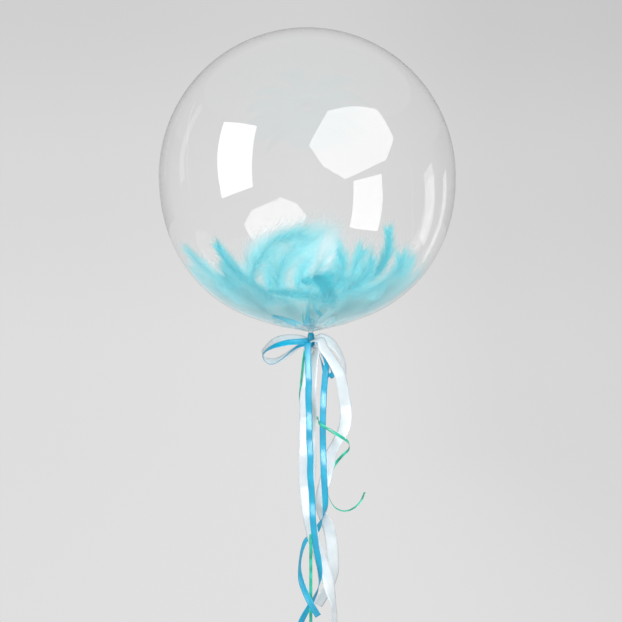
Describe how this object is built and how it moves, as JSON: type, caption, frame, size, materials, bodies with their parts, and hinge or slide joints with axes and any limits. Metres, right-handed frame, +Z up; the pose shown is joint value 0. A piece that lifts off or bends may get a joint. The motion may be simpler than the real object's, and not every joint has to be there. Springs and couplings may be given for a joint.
{
  "type": "clear bubble balloon",
  "caption": "Clear sealed bubble balloon with loose feathers inside, a satin ribbon bow and tails tied round its neck, floating on a ribbon tether.",
  "frame": {"origin": "foot of the loop at the lower end of the taut tether, which is what holds the balloon down", "axes": "+Z up along the tether to the bubble, -Y towards the viewer of the picture, +X to the viewer's right"},
  "size_m": [0.4798, 0.4794, 1.0309],
  "materials": {
    "clear_film": "clear stretched film, high gloss",
    "blue_satin": "satin ribbon, bright turquoise blue",
    "white_satin": "satin ribbon, white, slightly see-through",
    "green_ribbon": "glossy curling ribbon, sea green",
    "turquoise_feather": "dyed down and soft vane, turquoise"
  },
  "bodies": {
    "root": {"bubble": "clear_film", "neck_tie": "blue_satin", "blue_loop_left": "blue_satin", "white_loop_left": "white_satin", "white_loop_right": "white_satin", "blue_loop_right": "blue_satin", "blue_tail_left": "blue_satin", "blue_tail_right": "blue_satin", "white_tail_middle": "white_satin", "white_tail_left": "white_satin", "white_tail_right": "white_satin", "green_curl": "green_ribbon", "tether": "green_ribbon", "tether_knot": "green_ribbon", "tether_loop": "green_ribbon"}
  },
  "joints": []
}
